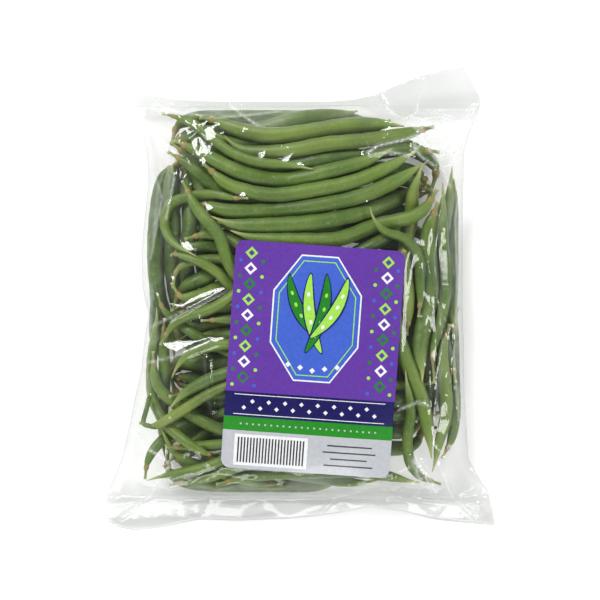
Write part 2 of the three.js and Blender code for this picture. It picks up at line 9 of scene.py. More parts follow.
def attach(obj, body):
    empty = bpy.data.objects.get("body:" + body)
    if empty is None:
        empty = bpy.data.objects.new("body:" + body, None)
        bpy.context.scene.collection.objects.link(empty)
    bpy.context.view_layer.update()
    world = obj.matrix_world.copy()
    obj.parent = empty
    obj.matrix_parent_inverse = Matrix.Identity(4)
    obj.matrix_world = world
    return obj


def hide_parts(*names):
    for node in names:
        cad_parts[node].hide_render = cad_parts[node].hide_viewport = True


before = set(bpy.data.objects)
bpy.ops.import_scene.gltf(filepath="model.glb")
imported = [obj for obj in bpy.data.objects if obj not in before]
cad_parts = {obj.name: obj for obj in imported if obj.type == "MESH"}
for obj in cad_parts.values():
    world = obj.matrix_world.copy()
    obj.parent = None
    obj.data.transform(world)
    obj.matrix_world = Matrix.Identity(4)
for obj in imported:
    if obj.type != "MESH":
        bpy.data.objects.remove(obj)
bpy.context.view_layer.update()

# Green bean pods.
# Whole raw pods of flesh and skin, each grown with a stalk, the dry collar of its calyx, a body that
# swells a little over its seeds, and a beak. They lie loose, or by twos and fives on a shared stalk.
millimetre = 0.001
bpy.ops.object.select_all(action="DESELECT")

# The pattern pod is drawn ring by ring from the beak (0) to the cut stalk (100), and is 8 mm wide
pod_stations = np.concatenate([
    [0.0, 0.6, 1.5, 3, 4.5, 6, 8, 10, 12.5, 15],
    np.arange(17, 82, 1.6), [83, 84.5, 86, 87.5, 89, 90.2, 91.2, 92],
    [92.3, 92.9, 93.7, 94.4, 94.8, 95.4, 96.5, 98, 99.3, 100]])
pod_profile = [
    (0, 0.1), (0.6, 0.3), (1.5, 0.42), (3, 0.6), (6, 1.1), (10, 2.2), (15, 3.25), (22, 3.8), (30, 4),
    (70, 4), (80, 3.8), (86, 3.3), (89.5, 2.6), (92, 1.65), (92.3, 1.8), (92.9, 1.95), (93.7, 1.8),
    (94.4, 1.5), (94.8, 1.2), (95.4, 1), (96.5, 0.9), (98, 0.92), (99.3, 1.05), (100, 1.15)]
pod_girth = np.interp(pod_stations, *zip(*pod_profile))
seed_places = [20.5, 27.5, 35.2, 43.4, 51.3, 59.8, 67.5, 75.2]
seed_swell, seed_reach = 0.2, 2.3
for place in seed_places:
    pod_girth += seed_swell * np.exp(-((pod_stations - place) / seed_reach) ** 2)

bpy.ops.mesh.primitive_circle_add(vertices=16, radius=pod_girth[0], rotation=(0, math.pi / 2, 0))
pod_pattern = bpy.context.object
pod_pattern.name = "pod_pattern"
bpy.ops.object.transform_apply(location=True, rotation=True, scale=True)
bpy.ops.object.mode_set(mode="EDIT")
bpy.ops.mesh.select_all(action="SELECT")
for before, station, thin, wide in zip(pod_stations, pod_stations[1:], pod_girth, pod_girth[1:]):
    bpy.ops.mesh.extrude_edges_move(TRANSFORM_OT_translate={"value": (station - before, 0, 0)})
    bpy.ops.transform.resize(value=(1, wide / thin, wide / thin), center_override=(station, 0, 0))
bpy.ops.mesh.edge_face_add()
bpy.ops.mesh.inset(thickness=0.35)
bpy.ops.transform.translate(value=(-0.25, 0, 0))
bpy.ops.mesh.poke()
bpy.ops.mesh.select_all(action="DESELECT")
bpy.ops.object.mode_set(mode="OBJECT")
for vertex in pod_pattern.data.vertices:
    vertex.select = vertex.co.x < 0.01
bpy.ops.object.mode_set(mode="EDIT")
bpy.ops.mesh.merge(type="CENTER")
bpy.ops.mesh.select_all(action="SELECT")
bpy.ops.mesh.normals_make_consistent(inside=False)
bpy.ops.object.mode_set(mode="OBJECT")
bpy.ops.object.shade_smooth()

pattern_points = np.array([vertex.co for vertex in pod_pattern.data.vertices])
clock = np.arctan2(pattern_points[:, 2], pattern_points[:, 1])
on_body = np.interp(pattern_points[:, 0], [4, 16, 86, 91], [0, 1, 1, 0])
suture = on_body * (np.exp(-((np.abs(clock) - math.pi / 2) / 0.16) ** 2))
squeeze = 1 - 0.1 * on_body * np.cos(clock) ** 2 + 0.035 * suture
pattern_points[:, 1:] *= squeeze[:, None]
for name, values in (("along", pattern_points[:, 0] / 100), ("suture", suture)):
    layer = pod_pattern.data.attributes.new(name, "FLOAT", "POINT")
    layer.data.foreach_set("value", values.astype(np.float32))
pod_pattern.data.attributes.new("tone_and_painted_shade", "FLOAT", "POINT")

# Skin: from dark to yellowish green from pod to pod, mottled and faintly streaked, waxy; straw-coloured
# at the beak's tip, tan and brown at the calyx, and pale where the stalk is cut; the bunched pods deep in
# the heap get darker tones, a painted shade for the gaps between the pods
bean_skin = bpy.data.materials.new("bean_skin")
bean_skin.use_nodes = True
nodes = bean_skin.node_tree.nodes
link = bean_skin.node_tree.links.new
skin = nodes["Principled BSDF"]
skin.inputs["Specular IOR Level"].default_value = 0.5
where = nodes.new("ShaderNodeTexCoord")


def read_point(tree, name):
    reader = tree.nodes.new("ShaderNodeAttribute")
    reader.attribute_name = name
    return reader


def ramp(tree, stops, mode="LINEAR"):
    made = tree.nodes.new("ShaderNodeValToRGB")
    made.color_ramp.interpolation = mode
    for k, (place, colour) in enumerate(stops):
        stop = made.color_ramp.elements[k] if k < 2 else made.color_ramp.elements.new(place)
        stop.position = place
        stop.color = (*colour, 1)
    return made


def mixed(tree, share, first, second, mode="MIX"):
    made = tree.nodes.new("ShaderNodeMix")
    made.data_type = "RGBA"
    made.blend_type = mode
    for socket, value in ((made.inputs[0], share), (made.inputs[6], first), (made.inputs[7], second)):
        if isinstance(value, bpy.types.NodeSocket):
            tree.links.new(value, socket)
        else:
            socket.default_value = value if isinstance(value, float) else (*value, 1)
    return made.outputs[2]


tone_and_painted_shade = ramp(bean_skin.node_tree, [
    (0.0, (0.034, 0.085, 0.008)), (0.35, (0.075, 0.148, 0.014)), (0.7, (0.128, 0.218, 0.022)),
    (1.0, (0.22, 0.29, 0.045))])
link(read_point(bean_skin.node_tree, "tone_and_painted_shade").outputs["Fac"], tone_and_painted_shade.inputs[0])
mottle = nodes.new("ShaderNodeTexNoise")
mottle.inputs["Scale"].default_value = 130
mottle.inputs["Detail"].default_value = 4
link(where.outputs["Object"], mottle.inputs["Vector"])
mottle_share = ramp(bean_skin.node_tree, [(0.38, (0, 0, 0)), (0.7, (0.55, 0.55, 0.55))])
link(mottle.outputs["Fac"], mottle_share.inputs[0])
flesh = mixed(bean_skin.node_tree, mottle_share.outputs[0], tone_and_painted_shade.outputs[0], (0.19, 0.27, 0.05))
blotch = nodes.new("ShaderNodeTexNoise")
blotch.inputs["Scale"].default_value = 34
blotch.inputs["Detail"].default_value = 2
link(where.outputs["Object"], blotch.inputs["Vector"])
blotch_share = ramp(bean_skin.node_tree, [(0.45, (0, 0, 0)), (0.7, (0.55, 0.55, 0.55))])
link(blotch.outputs["Fac"], blotch_share.inputs[0])
flesh = mixed(bean_skin.node_tree, blotch_share.outputs[0], flesh, (0.04, 0.095, 0.012))
speck = nodes.new("ShaderNodeTexNoise")
speck.inputs["Scale"].default_value = 620
speck.inputs["Detail"].default_value = 2
link(where.outputs["Object"], speck.inputs["Vector"])
speck_share = ramp(bean_skin.node_tree, [(0.6, (0, 0, 0)), (0.74, (0.5, 0.5, 0.5))])
link(speck.outputs["Fac"], speck_share.inputs[0])
flesh = mixed(bean_skin.node_tree, speck_share.outputs[0], flesh, (0.27, 0.3, 0.12))
suture_share = nodes.new("ShaderNodeMath")
suture_share.operation = "MULTIPLY"
suture_share.inputs[1].default_value = 0.4
link(read_point(bean_skin.node_tree, "suture").outputs["Fac"], suture_share.inputs[0])
flesh = mixed(bean_skin.node_tree, suture_share.outputs[0], flesh, (0.05, 0.1, 0.02))
ends = ramp(bean_skin.node_tree, [
    (0.0, (0.32, 0.25, 0.1)), (0.02, (0.42, 0.42, 0.16)), (0.09, (0.26, 0.36, 0.1)),
    (0.2, (0.2, 0.3, 0.06)), (0.9, (0.17, 0.24, 0.045)), (0.922, (0.3, 0.26, 0.08)),
    (0.945, (0.27, 0.19, 0.065)), (0.957, (0.19, 0.25, 0.06)), (0.985, (0.24, 0.29, 0.09)),
    (1.0, (0.5, 0.47, 0.26))])
end_share = ramp(bean_skin.node_tree, [
    (0.0, (1, 1, 1)), (0.03, (0.9, 0.9, 0.9)), (0.13, (0.25, 0.25, 0.25)), (0.22, (0, 0, 0)),
    (0.86, (0, 0, 0)), (0.915, (0.45, 0.45, 0.45)), (0.924, (1, 1, 1)), (1.0, (1, 1, 1))])
for made in (ends, end_share):
    link(read_point(bean_skin.node_tree, "along").outputs["Fac"], made.inputs[0])
link(mixed(bean_skin.node_tree, end_share.outputs[0], flesh, ends.outputs[0]), skin.inputs["Base Color"])
skin_rough = nodes.new("ShaderNodeMapRange")
skin_rough.inputs["To Min"].default_value = 0.3
skin_rough.inputs["To Max"].default_value = 0.6
link(mottle.outputs["Fac"], skin_rough.inputs["Value"])
link(skin_rough.outputs[0], skin.inputs["Roughness"])
fuzz = nodes.new("ShaderNodeTexNoise")
fuzz.inputs["Scale"].default_value = 900
fuzz.inputs["Detail"].default_value = 3
link(where.outputs["Object"], fuzz.inputs["Vector"])
skin_bump = nodes.new("ShaderNodeBump")
skin_bump.inputs["Strength"].default_value = 0.5
skin_bump.inputs["Distance"].default_value = 0.0004
link(fuzz.outputs["Fac"], skin_bump.inputs["Height"])
link(skin_bump.outputs[0], skin.inputs["Normal"])
pod_pattern.data.materials.append(bean_skin)


ring_count = 10
tip_edge = 1.8 * millimetre


def read_ways(node):
    """The rings that each pod of a solid is strung on, from its beak, and how wide it is."""
    welded = bmesh.new()
    welded.from_mesh(node.data)
    bmesh.ops.remove_doubles(welded, verts=welded.verts[:], dist=2e-5)
    welded.verts.ensure_lookup_table()

    def walk(start):
        steps = {start: 0}
        front = [start]
        while front:
            ahead = []
            for vertex in front:
                for edge in vertex.link_edges:
                    other = edge.other_vert(vertex)
                    if other not in steps:
                        steps[other] = steps[vertex] + 1
                        ahead.append(other)
            front = ahead
        return steps

    # A beak's tip is where all edges are long and alike, and ring k lies k steps from it
    tips = []
    for vertex in welded.verts:
        spans = [edge.calc_length() for edge in vertex.link_edges]
        if min(spans) > tip_edge and max(spans) < 1.15 * min(spans):
            tips.append(vertex)
    ways = []
    for tip in tips:
        reach = walk(tip)
        rings = [[v.co for v in reach if reach[v] == k] for k in range(ring_count)]
        places = [sum(ring, Vector()) / len(ring) for ring in rings]
        girths = [
            sum((co - place).length for co in ring) / len(ring) for ring, place in zip(rings, places)]
        ways.append((places, max(girths[2:7])))
    # Pods that share a stalk end together at its fork, which lies past their last rings
    if len(ways) > 1:
        fork = sum((places[-2] * 1.35 - places[-3] * 0.35 for places, _ in ways), Vector()) / len(ways)
        past_rings, near_fork = 2.6 * millimetre, 14 * millimetre
        spare = [
            vertex.co for vertex in welded.verts
            if all((vertex.co - places[-2]).length > past_rings for places, _ in ways)
            and (vertex.co - fork).length < near_fork]
        if spare:
            fork = sum(spare, Vector()) / len(spare)
        for places, _ in ways:
            places[-1] = fork.copy()
    welded.free()
    return ways


def smooth_way(places, eased, count=72):
    """A round path through the rings, evenly stepped and eased, and its length."""
    places = np.array(places)
    ends = np.vstack([2 * places[0] - places[1], places, 2 * places[-1] - places[-2]])
    path = []
    for a, b, c, d in zip(ends, ends[1:], ends[2:], ends[3:]):
        for t in np.linspace(0, 1, 12, endpoint=False):
            squared, cubed = 2 * a - 5 * b + 4 * c - d, 3 * b - a - 3 * c + d
            path.append(0.5 * (2 * b + (c - a) * t + squared * t * t + cubed * t ** 3))
    path = np.array([*path, places[-1]])
    run = np.concatenate([[0], np.cumsum(np.linalg.norm(np.diff(path, axis=0), axis=1))])
    even = np.linspace(0, run[-1], count)
    path = np.stack([np.interp(even, run, path[:, k]) for k in range(3)], axis=1)
    for _ in range(eased):
        path[1:-1] += 0.5 * ((path[:-2] + path[2:]) / 2 - path[1:-1])
    return path, run[-1]


rng = np.random.default_rng(41)
usual_easing, stem_easing = 10, 90
uneven, uneven_pitch = 0.03, 0.11
# The bunched pods lie deep in the heap and get the darker tones: painted shade for the gaps between pods
shown_tone, painted_shade_tone = (0.52, 0.2), (0.2, 0.15)
bean_tone = {
    "pod_right_olive": 0.92, "pod_right_long": 0.7, "pod_right_broad": 0.45, "pod_head_fifth": 0.72,
    "pod_head_sixth": 0.6, "pod_head_seventh": 0.55, "pod_over_label": 0.66, "pod_left_bright": 0.8}
resting = []
for node_name in sorted(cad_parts):
    if node_name in ("film_bag", "label"):
        continue
    grown = []
    for places, girth in read_ways(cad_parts[node_name]):
        path, length = smooth_way(places, stem_easing if node_name == "stem_left" else usual_easing)
        stalk = (places[-1] - places[-2]).length
        resting.append((path, girth))
        pod = pod_pattern.copy()
        pod.data = pod_pattern.data.copy()
        bpy.context.collection.objects.link(pod)
        roll = rng.uniform(0, math.pi)
        shape = pattern_points.copy()
        body_end = length / millimetre - stalk / millimetre
        shape[:, 0] = np.interp(
            shape[:, 0], [0, 22, 78, 93, 100], [0, 22, body_end - 15, body_end, length / millimetre])
        wide = girth / (4 * millimetre) * (1 + uneven * np.sin(shape[:, 0] * uneven_pitch + roll))
        y, z = shape[:, 1] * wide, shape[:, 2] * wide
        shape[:, 1] = y * math.cos(roll) - z * math.sin(roll)
        shape[:, 2] = y * math.sin(roll) + z * math.cos(roll)
        pod.data.vertices.foreach_set("co", (shape * millimetre).ravel())
        pod_tone_and_painted_shade = painted_shade_tone if node_name.startswith("spray") else shown_tone
        shade = bean_tone.get(node_name, rng.normal(*pod_tone_and_painted_shade))
        shades = np.full(len(shape), np.clip(shade, 0, 1), np.float32)
        pod.data.attributes["tone_and_painted_shade"].data.foreach_set("value", shades)
        bend = bpy.data.curves.new("bend", "CURVE")
        bend.dimensions = "3D"
        bend.twist_mode = "MINIMUM"
        spline = bend.splines.new("POLY")
        spline.points.add(len(path) - 1)
        spline.points.foreach_set("co", np.hstack([path, np.ones((len(path), 1))]).ravel())
        bend_line = bpy.data.objects.new("bend", bend)
        bpy.context.collection.objects.link(bend_line)
        bpy.ops.object.select_all(action="DESELECT")
        pod.select_set(True)
        bpy.context.view_layer.objects.active = pod
        follow = pod.modifiers.new("bend", "CURVE")
        follow.object = bend_line
        bpy.ops.object.modifier_apply(modifier="bend")
        bpy.data.objects.remove(bend_line)
        grown.append(pod)
    bpy.ops.object.select_all(action="DESELECT")
    for pod in grown:
        pod.select_set(True)
    bpy.context.view_layer.objects.active = grown[0]
    if len(grown) > 1:
        bpy.ops.object.join()
    beans = bpy.context.object
    beans.name = f"{node_name}_grown"
    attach(beans, "root")
    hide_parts(node_name)
bpy.data.objects.remove(pod_pattern)

# Film bag.
# One web of clear, glossy film round the pods: tight over the top ones, slack between them, round at
# both side folds and creased near them, and sealed flat into the skirt at the foot and the head.
fill_height, fill_middle, fill_half = 35, -0.5, 98
side_fold, doubled_half = 11, 0.2

# The outline from above in millimetres: the sides as (y, x), the head and the foot as (x, y)
left_side = [
    (-116.5, -98.5), (-105, -98.3), (-95, -96), (-80, -89.5), (-65, -86), (-50, -83), (-35, -79.5),
    (-20, -78), (-7, -76), (6, -79), (25, -79.5), (45, -77.5), (60, -76), (75, -77), (90, -81),
    (100, -84), (106, -85)]
right_side = [
    (-114, 98.5), (-105, 97), (-95, 94), (-88, 89), (-80, 84.5), (-50, 82.5), (0, 81.5), (45, 81.5),
    (60, 82), (75, 82.5), (85, 85.5), (93, 89), (100, 91.2), (116.5, 82.5)]
head_edge = [
    (-85, 106), (-77, 103), (-62, 100.5), (-39, 99.5), (-8, 99.5), (15, 99.5), (27, 100.5), (38, 103),
    (57.5, 111.3), (70, 114.4), (82.5, 116.4), (91, 114)]
foot_edge = [
    (-98.5, -111), (-92, -115), (-84, -116.5), (-70, -115), (-50, -111), (-30, -111.5), (-5, -110.5),
    (20, -107.5), (36, -104), (52, -106.5), (68, -111), (98.5, -114)]


def drawn(table, at):
    """The outline between its points, eased a little at each."""
    where, out = np.array(table, float).T
    return sum(np.interp(at + shift, where, out) for shift in (-1.2, 0, 1.2)) / 3


def bulge(share, power):
    """How full a section is at a share of its half width: boxier for a higher power."""
    return (1 - np.minimum(np.abs(share), 1) ** power) ** (1 / power)


def seam_height(x, y):
    """How high the rim of the bag lies over the table, from the wavy skirts to the side folds."""
    rise = np.clip((y + 115) / 18, 0, 1)
    foot = 1.7 + 4.6 * rise * rise * (3 - 2 * rise) + 0.7 * np.sin(0.16 * x + 0.7)
    head = 8 + 0.35 * (y - 98) + 0.5 * np.sin(0.2 * x)
    share = bulge((y - fill_middle) / fill_half, 3.2)
    return np.where(y < 0, foot, head) * (1 - share) + side_fold * share


def blown_top(x, y, across):
    """How high the film would stand if the bag were blown up full."""
    rest = seam_height(x, y) + doubled_half
    return rest + (fill_height - rest) * bulge(across, 2.7) * bulge((y - fill_middle) / fill_half, 3.2)


def across_at(x, y):
    """Where a spot lies across the bag, from -1 at its left side to 1 at its right."""
    left, right = drawn(left_side, y), drawn(right_side, y)
    return (2 * x - left - right) / (right - left)


# How high the pods stand under the film, on a millimetre grid
grid_left, grid_foot = -100, -118
grid_x, grid_y = np.meshgrid(np.arange(grid_left, 1.0 - grid_left), np.arange(grid_foot, 1.0 - grid_foot))
pod_tops = np.zeros(grid_x.shape)
for path, girth in resting:
    for x, y, z in path / millimetre:
        radius = 1.04 * girth / millimetre
        i, j = int(round(y - grid_foot)), int(round(x - grid_left))
        window = (slice(max(0, i - 6), i + 7), slice(max(0, j - 6), j + 7))
        room = radius ** 2 - (grid_x[window] - x) ** 2 - (grid_y[window] - y) ** 2
        crown = np.where(room > 0, z + np.sqrt(np.maximum(room, 0)), 0)
        pod_tops[window] = np.maximum(pod_tops[window], crown)
highest = blown_top(grid_x, grid_y, across_at(grid_x, grid_y))
drape = highest.copy()
empty = (np.abs(across_at(grid_x, grid_y)) >= 1) | (np.abs(grid_y - fill_middle) >= fill_half)
drape_passes, drape_sag, film_rest = 500, 0.003, 0.15


def neighbour_mean(values):
    """The mean of a grid's four neighbours at each spot."""
    above_and_below = np.roll(values, 1, 0) + np.roll(values, -1, 0)
    return (above_and_below + np.roll(values, 1, 1) + np.roll(values, -1, 1)) / 4


for _ in range(drape_passes):
    sunk = np.maximum(neighbour_mean(drape) - drape_sag, pod_tops + film_rest)
    drape = np.where(empty, highest, np.minimum(sunk, highest))


def read_grid(values, x, y):
    """The value of a grid at any place, between its four nearest spots."""
    i = np.clip(y - grid_foot, 0, values.shape[0] - 1.001)
    j = np.clip(x - grid_left, 0, values.shape[1] - 1.001)
    i0, j0 = i.astype(int), j.astype(int)
    fi, fj = i - i0, j - j0
    return ((values[i0, j0] * (1 - fj) + values[i0, j0 + 1] * fj) * (1 - fi)
            + (values[i0 + 1, j0] * (1 - fj) + values[i0 + 1, j0 + 1] * fj) * fi)


# The label stiffens the film that it is stuck on, so that it bridges the pods
label_turn = math.radians(-4.1)
label_middle = np.array([6.3, -29.2])
label_width, label_length = 83, 112
from_middle = np.stack([grid_x - label_middle[0], grid_y - label_middle[1]])
label_u = from_middle[0] * math.cos(label_turn) + from_middle[1] * math.sin(label_turn)
label_v = -from_middle[0] * math.sin(label_turn) + from_middle[1] * math.cos(label_turn)
bridge_reach, bridge_passes = 4, 70
bridged = drape.copy()
for dx in range(-bridge_reach, bridge_reach + 1):
    for dy in range(-bridge_reach, bridge_reach + 1):
        if math.hypot(dx, dy) < bridge_reach + 0.2:
            bridged = np.maximum(bridged, np.roll(np.roll(drape, dx, 1), dy, 0))
for _ in range(bridge_passes):
    bridged += 0.9 * (neighbour_mean(bridged) - bridged)
fade = 4
beside = np.clip((label_width / 2 + fade - np.abs(label_u)) / fade, 0, 1)
beyond = np.clip((label_length / 2 + fade - np.abs(label_v)) / fade, 0, 1)
under_label = beside * beyond
under_label = under_label * under_label * (3 - 2 * under_label)
drape = np.minimum(drape * (1 - under_label) + bridged * under_label, highest)

# Flat panels where the film stands taut off the pods, each as the two ends of its run, its width and
# how steeply it leans to the left of that run
panels = [
    ((-79, -30), (-35, -17), 14, 0.43), ((-74, -10), (-35, 8), 11, 0.43), ((-44, -26), (-42, -56), 6, 0.44),
    ((-48, -70), (-45, -82), 4, 0.44), ((45.5, -74), (47, -92), 4, 0.44), ((-70, 36), (-62, 48), 5, 0.4),
    ((40, 67), (58, 74), 5, 0.42), ((43, -93), (61, -81.5), 8, 0.43)]
taut = np.zeros(grid_x.shape)
off_pods = 1.6
for (ax, ay), (bx, by), wide, lean in panels:
    run = np.hypot(bx - ax, by - ay)
    t = ((grid_x - ax) * (bx - ax) + (grid_y - ay) * (by - ay)) / run ** 2
    aside = ((grid_y - ay) * (bx - ax) - (grid_x - ax) * (by - ay)) / run
    taper = wide * (0.35 + 0.65 * np.clip(1.1 - t, 0, 1)) / 2
    within = (t > 0) & (t < 1) & (np.abs(aside) < taper)
    levelled = drape + lean * aside
    near, far = (np.percentile(levelled[within & half], 80) for half in (t < 0.5, t >= 0.5))
    plane = near + (far - near) * np.clip(1.5 * t - 0.25, 0, 1) - lean * aside
    edge_fade = np.clip((taper - np.abs(aside)) / 0.8 + 0.5, 0, 1)
    share = edge_fade * np.clip(np.minimum(t, 1 - t) * run / 2, 0, 1)
    drape = np.minimum(drape + share * np.maximum(plane - drape, -0.2), highest + off_pods * share)
    taut = np.maximum(taut, share)

# Folds that the film holds, each as its run, its height, the reach of its flanks and how white a line is
# painted along it: partly the film's own whitening at a fold, partly a painted highlight
creases = [
    ([(62, 111), (60, 101), (58, 93)], 1.6, 3.2, 0.5),
    ([(40, 102.5), (45.6, 93), (58, 84), (63.8, 73.8), (70, 65), (73.8, 56)], 1.3, 1.8, 0.9),
    ([(60, 89), (69, 82.5), (77.5, 76)], 1.2, 1.6, 0.9),
    ([(62, 90), (70, 91), (77.5, 89.4)], 1.2, 1.6, 0.8),
    ([(58, 93), (52, 90), (62, 90), (60, 84), (66, 78)], 1.2, 1.6, 0.7),
    ([(33, 72), (38, 75.5), (49, 78), (57.5, 81)], 1.6, 2.0, 0.95),
    ([(34, 71), (44, 72.5), (54, 71), (60, 77)], 1.3, 1.8, 0.85),
    ([(57.5, 81), (56, 75), (60, 70), (66, 66)], 1.2, 1.6, 0.8),
    ([(60, 77), (67, 75), (72, 70)], 1.1, 1.5, 0.8),
    ([(72, 76), (75, 79), (77, 74), (73, 72), (72, 76)], 1.2, 1.4, 0.95),
    ([(68, 74), (71, 77), (73, 73), (70, 71), (68, 74)], 1.0, 1.2, 0.8),
    ([(70, 65), (74, 67), (78, 72)], 1.1, 1.4, 0.7),
    ([(84, 86), (79, 91), (66, 94)], 1.2, 1.6, 0.7),
    ([(89, 99), (80, 88), (81, 76)], 1.2, 1.8, 0.7),
    ([(-37, 100), (-30, 93), (-21, 86)], 1.1, 1.8, 0.7),
    ([(-75, 100), (-60, 93), (-40, 90), (-10, 94)], 0.9, 1.8, 0.5),
    ([(-82, -66), (-77, -73), (-67, -78), (-64, -82), (-70, -86)], 1.3, 1.6, 0.9),
    ([(48, -54), (58, -50), (63, -52)], 0.9, 1.4, 0.7),
    ([(55.5, -78), (62, -88), (68.5, -97)], 1.6, 3.2, 0.8),
    ([(57, -78), (64, -88), (68.5, -97)], 1.2, 2.2, 0.8),
    ([(56, -80), (59, -88), (67, -97)], 1.2, 2.2, 0.7),
    ([(55, -78), (60, -92), (58, -100)], 1.2, 2.4, 0.6),
    ([(-80, -32), (-62, -28), (-44, -20)], 0.7, 1.4, 0.5),
    ([(-75, -14), (-58, -6), (-36, 4)], 0.7, 1.4, 0.4),
    ([(80, 60), (77, 40), (78, 10), (76, -30), (79, -60)], 0.9, 1.6, 0.5),
    ([(70, 52), (66, 20), (70, -20), (66, -60)], 0.8, 2.2, 0.2),
    ([(-76, 88), (-67, 78), (-62, 60), (-66, 40)], 1.2, 2.6, 0.5),
    ([(-72, 62), (-68, 50), (-74, 20)], 1.0, 2.2, 0.4),
    ([(-98, -104), (-70, -99), (-20, -98.5), (40, -98.5), (96, -103)], 0.9, 1.6, 0.35),
    ([(-90, -110), (-74, -97), (-70, -88)], 0.9, 1.8, 0.6),
    ([(-50, -110), (-44, -99)], 0.7, 1.6, 0.5),
    ([(10, -108), (18, -99), (30, -95)], 0.8, 1.8, 0.5),
    ([(90, -111), (76, -98), (70, -84)], 1.0, 2.0, 0.6),
]


def fold(x, y):
    """How far the folds lift the film, and how white a line is painted along each crease, partly the film's
    whitening and partly a painted highlight.
    """
    lift, crease_white_and_highlight = np.zeros(x.shape), np.zeros(x.shape)
    for run, height, flank, line_whiteness in creases:
        nearest = np.full(x.shape, np.inf)
        for (ax, ay), (bx, by) in zip(run, run[1:]):
            along_run = (x - ax) * (bx - ax) + (y - ay) * (by - ay)
            t = np.clip(along_run / ((bx - ax) ** 2 + (by - ay) ** 2), 0, 1)
            nearest = np.minimum(nearest, np.hypot(x - ax - t * (bx - ax), y - ay - t * (by - ay)))
        lift += height * np.maximum(0, 1 - nearest / flank)
        # The painted white line along a crease comes and goes along its run
        uneven_along_line = 0.65 + 0.35 * np.sin(1.9 * x + 0.8 * y) * np.sin(0.7 * x - 1.3 * y)
        crease_white_and_highlight = np.maximum(crease_white_and_highlight, line_whiteness * uneven_along_line * np.exp(-(nearest / 0.55) ** 2))
    return lift, crease_white_and_highlight


def crumple(x, y, scale, share, turn, stretch):
    """Thin ridges of film that has been handled, sharp at the top."""
    u = (x * math.cos(turn) + y * math.sin(turn)) / scale
    v = (-x * math.sin(turn) + y * math.cos(turn)) / scale / stretch
    swell = np.array([noise.noise(Vector((a, b, scale))) for a, b in zip(u.ravel(), v.ravel())])
    return np.maximum(0, 1 - np.abs(swell.reshape(x.shape)) / share)


# The front and the back are one grid each, spread over the outline and closer at the rim
bpy.ops.object.select_all(action="DESELECT")
bpy.ops.mesh.primitive_grid_add(x_subdivisions=190, y_subdivisions=240, size=2)
film = bpy.context.object
film.name = "film_web"
flat = np.array([vertex.co for vertex in film.data.vertices])
across = 0.45 * flat[:, 0] + 0.55 * np.sin(flat[:, 0] * math.pi / 2)
filled_share = 0.86
inner = np.clip(flat[:, 1] / filled_share, -1, 1)
reach = fill_middle + fill_half * (0.6 * inner + 0.4 * np.sin(inner * math.pi / 2))
past = np.clip((np.abs(flat[:, 1]) - filled_share) / (1 - filled_share), 0, 1)
x, y = np.zeros(len(flat)), reach.copy()
for _ in range(9):
    left, right = drawn(left_side, y), drawn(right_side, y)
    x = left + (right - left) * (across + 1) / 2
    edge = np.where(flat[:, 1] < 0, drawn(foot_edge, x), drawn(head_edge, x))
    y = reach + (edge - reach) * past

# The front takes the drape, then ridges where it is free of the label, then the folds
seam = seam_height(x, y)
free = np.clip((1 - np.abs(across)) / 0.06, 0, 1) * (1 - past)
edge_share = np.maximum(np.abs(across), np.abs(y - fill_middle) / fill_half)
loose = np.clip((edge_share - 0.55) / 0.4, 0.25, 1)
label_cover = read_grid(under_label, x, y)
ridges = (0.55 * crumple(x, y, 21, 0.1, 0.5, 1.8) + 0.45 * crumple(x + 300, y, 15, 0.12, -0.9, 1.6)
          + 0.3 * crumple(x, y + 500, 8, 0.16, 0.2, 1.3))
calm = 0.6 * np.clip((y - 20) / 20, 0, 1) * np.clip((45 - np.abs(x)) / 12, 0, 1)
rough_corner = 1.1 * np.clip((y - 55) / 12, 0, 1) * np.clip((-44 - x) / 8, 0, 1)
ridges *= (1 - read_grid(taut, x, y)) * (1 - calm + rough_corner)
front = np.minimum(read_grid(drape, x, y), blown_top(x, y, across) + off_pods * read_grid(taut, x, y))
lift, crease_white_and_highlight = fold(x, y)
off_rim = np.clip((1 - np.abs(across)) / 0.04, 0, 1) * np.clip((1 - past) / 0.15, 0, 1)
front = front + free * (1 - label_cover) * (loose * ridges - 0.1) + off_rim * (1 - label_cover) * lift
skirt_wave = 0.3 * (0.5 * crumple(x, y + 90, 19, 0.2, 1.2, 2.5) + 0.3 * np.sin(x * 0.15 + y * 0.07))
front += past * (0.5 + skirt_wave) * (1 - np.abs(across) ** 8)

# The back lies flat under the pods and rises to the side folds
under_bulge, under_spread = 4.5, 1.04
flatness = bulge(across, under_bulge) * bulge((y - fill_middle) / fill_half, under_bulge)
flatness = np.minimum(1, under_spread * flatness)
back = (seam - doubled_half) * (1 - flatness)
back += past * (0.1 + skirt_wave) * (1 - np.abs(across) ** 8)
back = np.minimum(np.maximum(back, 0.15), front - 0.1)
rim = np.max(np.abs(flat[:, :2]), axis=1) > 0.9999
front[rim] = back[rim]
film.data.vertices.foreach_set("co", (np.stack([x, y, front], axis=1) * millimetre).ravel())
rim_share = np.maximum(np.abs(across) - 0.03, np.abs(y - fill_middle) / fill_half)
slack = np.clip((rim_share - 0.9) / 0.1, 0, 1)
for name, values in (("crease_white_and_painted_highlight", off_rim * (1 - label_cover) * crease_white_and_highlight), ("slack", slack)):
    layer = film.data.attributes.new(name, "FLOAT", "POINT")
    layer.data.foreach_set("value", values.astype(np.float32))
bpy.ops.object.duplicate()
film_back = bpy.context.object
film_back.data.attributes["crease_white_and_painted_highlight"].data.foreach_set("value", np.zeros(len(flat), np.float32))
film_back.data.vertices.foreach_set("co", (np.stack([x, y, back], axis=1) * millimetre).ravel())
film_back.data.flip_normals()
film.select_set(True)
bpy.context.view_layer.objects.active = film
bpy.ops.object.join()
bpy.ops.object.mode_set(mode="EDIT")
bpy.ops.mesh.select_all(action="SELECT")
bpy.ops.mesh.remove_doubles(threshold=0.00002)
bpy.ops.mesh.normals_make_consistent(inside=False)
bpy.ops.object.mode_set(mode="OBJECT")
bpy.ops.object.shade_smooth()
